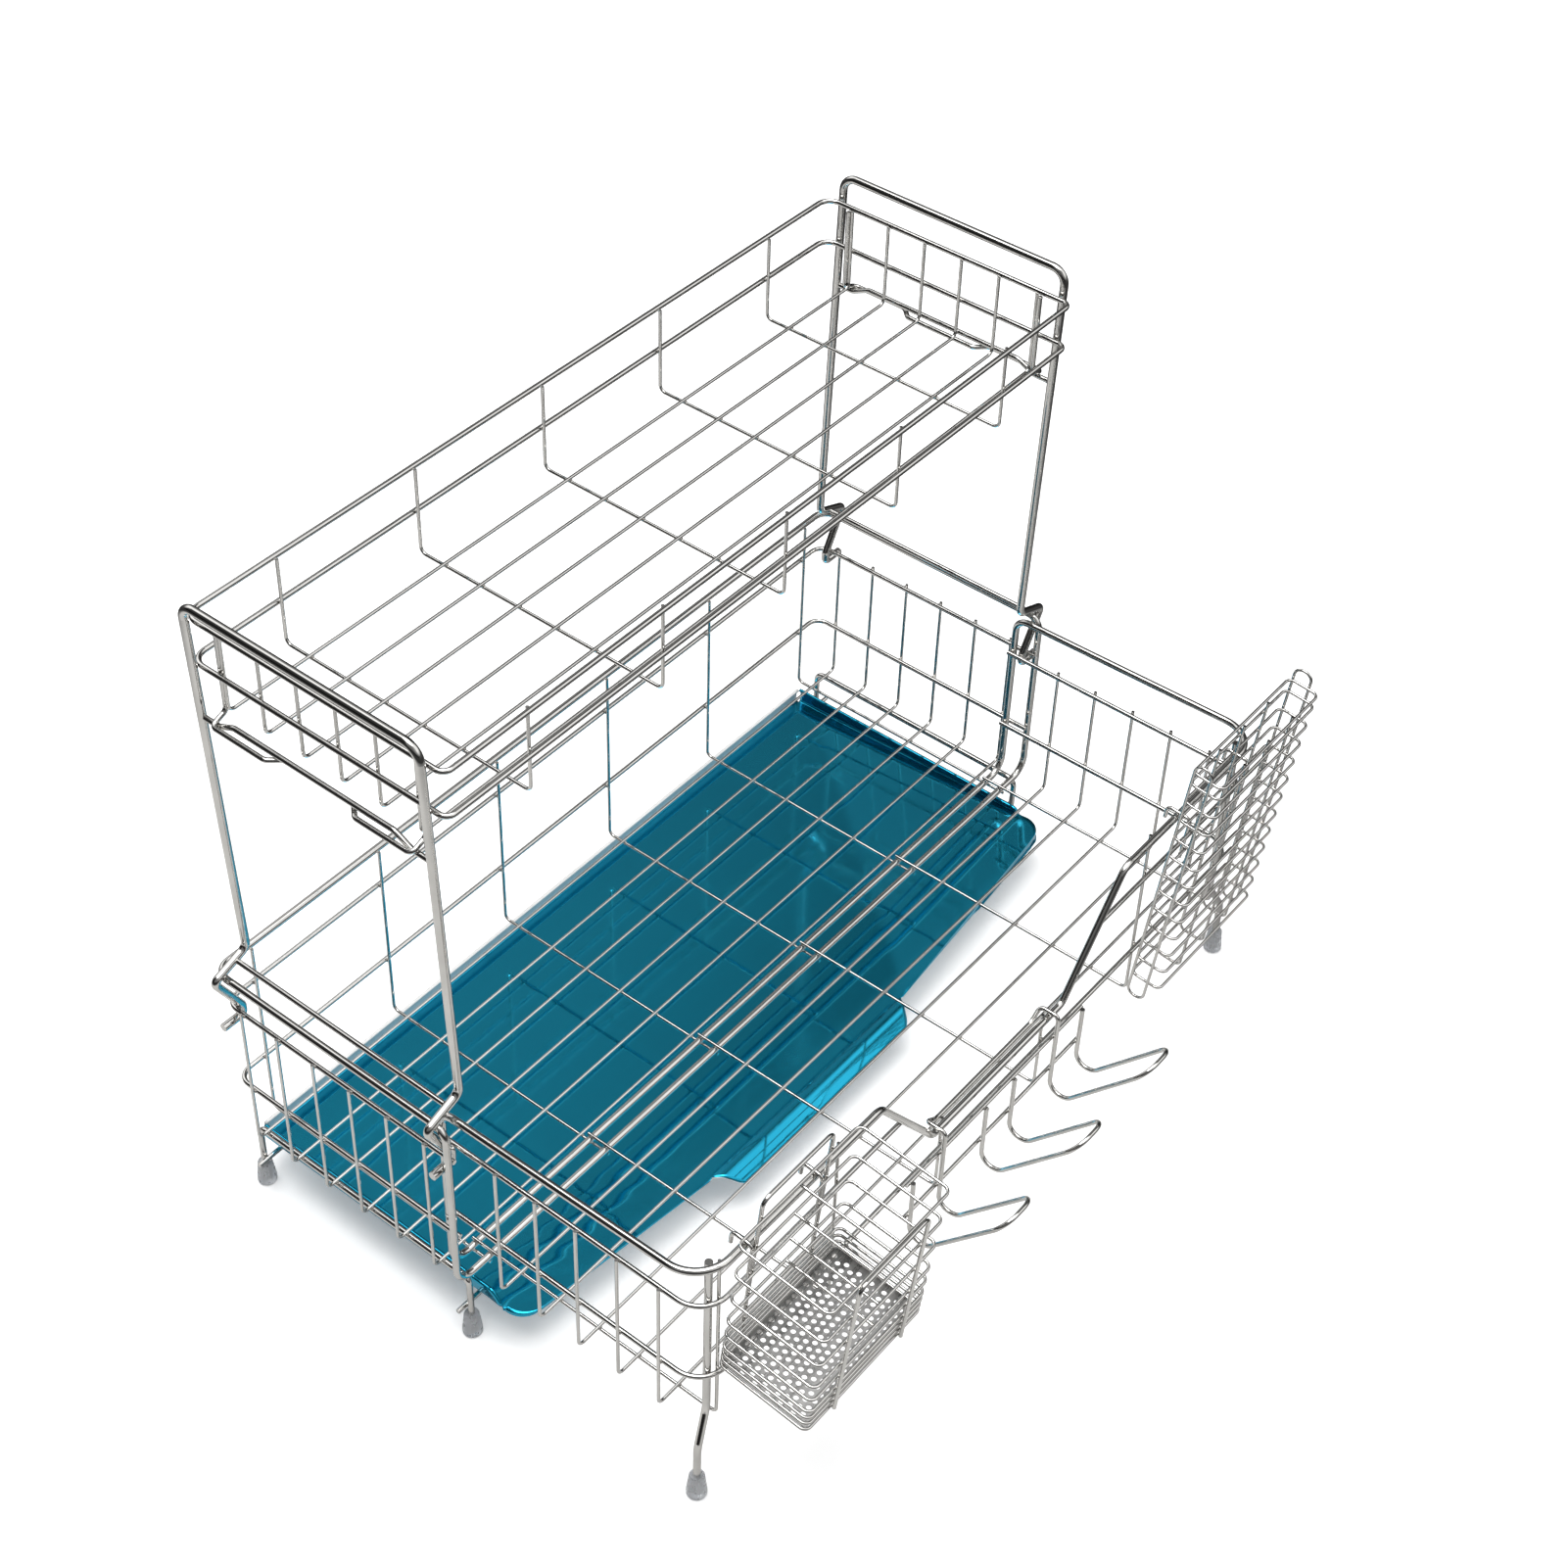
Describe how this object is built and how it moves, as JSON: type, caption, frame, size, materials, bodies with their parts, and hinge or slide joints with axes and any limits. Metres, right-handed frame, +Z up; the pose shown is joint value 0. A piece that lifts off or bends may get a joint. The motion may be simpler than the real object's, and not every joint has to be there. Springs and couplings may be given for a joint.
{
  "type": "dish drying rack",
  "caption": "Two-tier wire dish drying rack with two lower baskets, an upper basket, a slide-out drip tray, a cutlery basket, cup hooks and a board holder.",
  "frame": {"origin": "on the table, under the centre of the whole object's bounding box", "axes": "+X to the rack's right-hand end, +Y to the back, +Z up"},
  "size_m": [0.5554, 0.409, 0.4425],
  "materials": {
    "steel": "polished stainless steel wire",
    "plate": "perforated stainless sheet",
    "tray_film": "stainless sheet under glossy blue protective film",
    "foot_cap": "translucent soft plastic"
  },
  "bodies": {
    "rack": {"rear_basket_frame": "steel", "rear_upper_rail": "steel", "rear_middle_rail": "steel", "rear_plate_wires": "steel", "rear_cross_wires": "steel", "foot_frame_left": "steel", "foot_frame_right": "steel", "tray_support_wires": "steel", "rear_foot_caps": "foot_cap", "front_foot_caps": "foot_cap", "front_basket_frame": "steel", "front_upper_rails": "steel", "front_middle_rail": "steel", "front_plate_wires": "steel", "front_cross_wires": "steel", "front_legs": "steel", "end_hoop_left": "steel", "end_hoop_right": "steel", "upper_cross_bar_left": "steel", "upper_cross_bar_right": "steel", "lower_cross_bar_left": "steel", "lower_cross_bar_right": "steel", "top_basket_rim": "steel", "top_basket_second_rim": "steel", "top_plate_wires": "steel", "top_cross_wires": "steel", "top_basket_hanger_left": "steel", "top_basket_hanger_right": "steel"},
    "drip_tray": {"drip_tray": "tray_film"},
    "cutlery_basket": {"cutlery_rings": "steel", "cutlery_front_loop": "steel", "cutlery_back_loop": "steel", "cutlery_partition": "steel", "cutlery_base_plate": "plate", "cutlery_hooks": "steel"},
    "cup_hook_unit": {"cup_hooks": "steel", "cup_hook_bars": "steel"},
    "board_holder": {"board_rings": "steel", "board_end_loops": "steel", "board_ribs": "steel", "board_hooks": "steel"}
  },
  "joints": [
    {"name": "tray_slide", "type": "slide", "parent": "rack", "child": "drip_tray", "axis": [0, -1, 0], "range_m": [0, 0.24]},
    {"name": "cutlery_lift", "type": "slide", "parent": "rack", "child": "cutlery_basket", "axis": [0, -0.0958, 0.9954], "range_m": [0, 0.12]},
    {"name": "cup_hook_lift", "type": "slide", "parent": "rack", "child": "cup_hook_unit", "axis": [0, 0, 1], "range_m": [0, 0.12]},
    {"name": "board_lift", "type": "slide", "parent": "rack", "child": "board_holder", "axis": [0, -0.0976, 0.9952], "range_m": [0, 0.12]}
  ]
}
